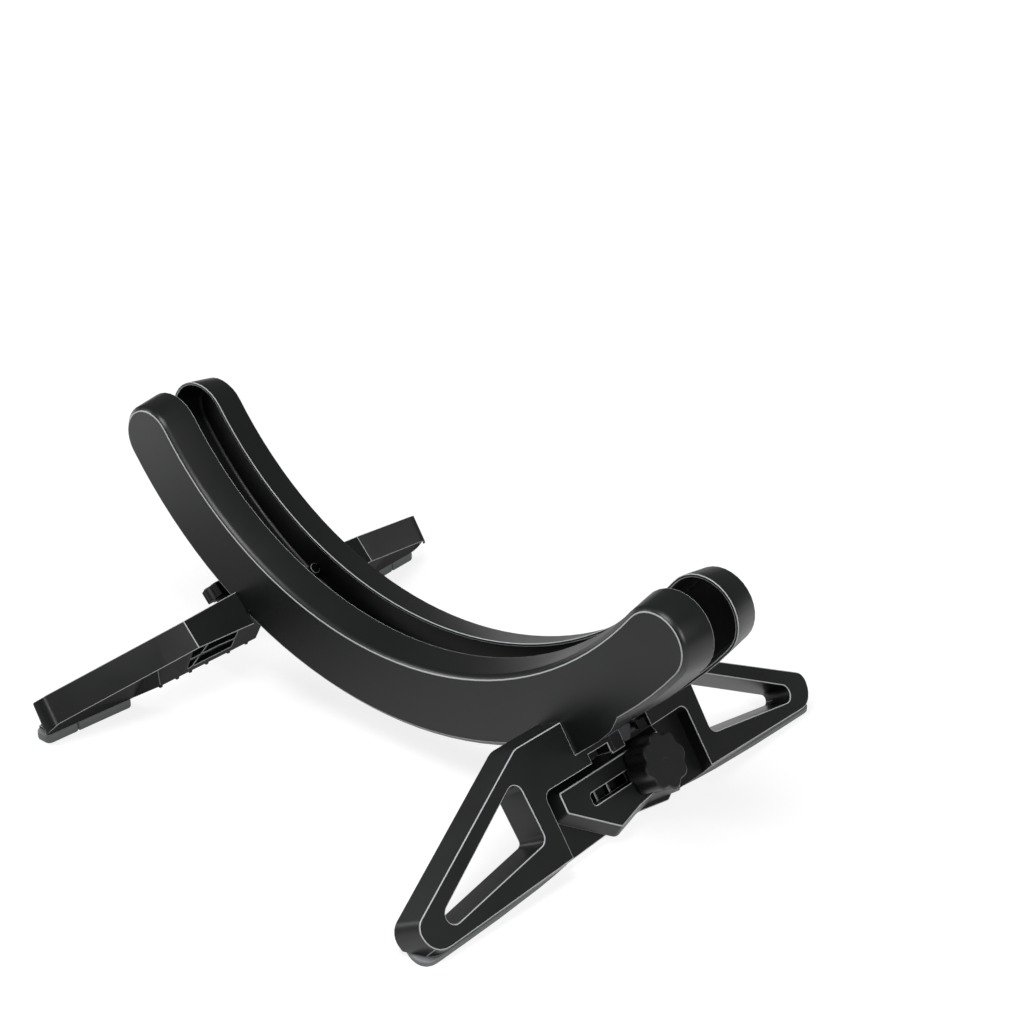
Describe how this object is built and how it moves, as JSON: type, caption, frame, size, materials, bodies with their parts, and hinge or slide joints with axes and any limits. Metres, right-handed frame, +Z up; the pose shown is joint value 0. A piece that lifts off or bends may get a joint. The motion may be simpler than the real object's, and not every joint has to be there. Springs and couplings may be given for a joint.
{
  "type": "bike parking stand",
  "caption": "Floor stand that holds a bicycle wheel between two curved rails on front wings and rear legs, with halves that slide apart to fit wider tyres and clamp by knobs.",
  "frame": {"origin": "on the floor, under the middle of the stand, in the plane of the wheel", "axes": "+X the way the wheel points, towards the front wings; +Y to its left; +Z up"},
  "size_m": [0.715, 0.5644, 0.2711],
  "materials": {
    "right_rail": "fine satin moulding grain, charcoal black",
    "left_rail": "fine satin moulding grain, charcoal black",
    "right_front_wing": "fine satin moulding grain, charcoal black",
    "left_front_wing": "fine satin moulding grain, charcoal black",
    "right_rear_leg": "fine satin moulding grain, charcoal black",
    "left_rear_leg": "fine satin moulding grain, charcoal black",
    "rubber_pads": "matt dark grey",
    "fasteners": "zinc plated",
    "clamp_steel": "zinc plated",
    "clamp_insert": "machined",
    "clamp_knobs": "matt black with a fine grain",
    "stop_block": "dark grey moulding",
    "stop_clips": "blackened bent strip"
  },
  "bodies": {
    "left_half": {"left_rail": "left_rail", "left_front_wing": "left_front_wing", "left_rear_leg": "left_rear_leg", "left_front_pad": "rubber_pads", "left_rear_pad_outer": "rubber_pads", "left_rear_pad_inner": "rubber_pads", "left_wing_screw_1": "fasteners", "left_wing_screw_2": "fasteners", "left_leg_screw_1": "fasteners", "left_leg_screw_2": "fasteners", "width_stop_block": "stop_block", "left_stop_clip": "stop_clips"},
    "right_half": {"right_rail": "right_rail", "right_front_wing": "right_front_wing", "right_rear_leg": "right_rear_leg", "right_front_pad": "rubber_pads", "right_rear_pad_outer": "rubber_pads", "right_rear_pad_inner": "rubber_pads", "right_wing_screw_1": "fasteners", "right_wing_screw_2": "fasteners", "right_leg_screw_1": "fasteners", "right_leg_screw_2": "fasteners", "right_stop_clip": "stop_clips", "front_clamp_bolt": "clamp_steel", "rear_clamp_bolt": "clamp_steel"},
    "front_washer": {"front_clamp_washer": "clamp_steel"},
    "front_knob": {"front_clamp_knob": "clamp_knobs", "front_clamp_insert": "clamp_insert"},
    "rear_washer": {"rear_clamp_washer": "clamp_steel"},
    "rear_knob": {"rear_clamp_knob": "clamp_knobs", "rear_clamp_insert": "clamp_insert"}
  },
  "joints": [
    {"name": "width_slide", "type": "slide", "parent": "left_half", "child": "right_half", "axis": [0, -1, 0], "range_m": [-0.012, 0.04]},
    {"name": "front_clamp_lift", "type": "slide", "parent": "right_half", "child": "front_washer", "axis": [0.8331, 0, 0.5531], "range_m": [0, 0.003]},
    {"name": "front_clamp_turn", "type": "hinge", "parent": "front_washer", "child": "front_knob", "pos_m": [0.25329, 0.028, 0.04845], "axis": [0.8331, 0, 0.5531], "range_deg": [0, 720]},
    {"name": "rear_clamp_lift", "type": "slide", "parent": "right_half", "child": "rear_washer", "axis": [-0.6905, 0, 0.7233], "range_m": [0, 0.003]},
    {"name": "rear_clamp_turn", "type": "hinge", "parent": "rear_washer", "child": "rear_knob", "pos_m": [-0.23606, -0.029, 0.0646], "axis": [-0.6905, 0, 0.7233], "range_deg": [0, 720]}
  ],
  "couplings": [
    {"joint": "front_clamp_turn", "follows": "front_clamp_lift", "rad_per_m": 4188.8},
    {"joint": "rear_clamp_turn", "follows": "rear_clamp_lift", "rad_per_m": 4188.8}
  ]
}
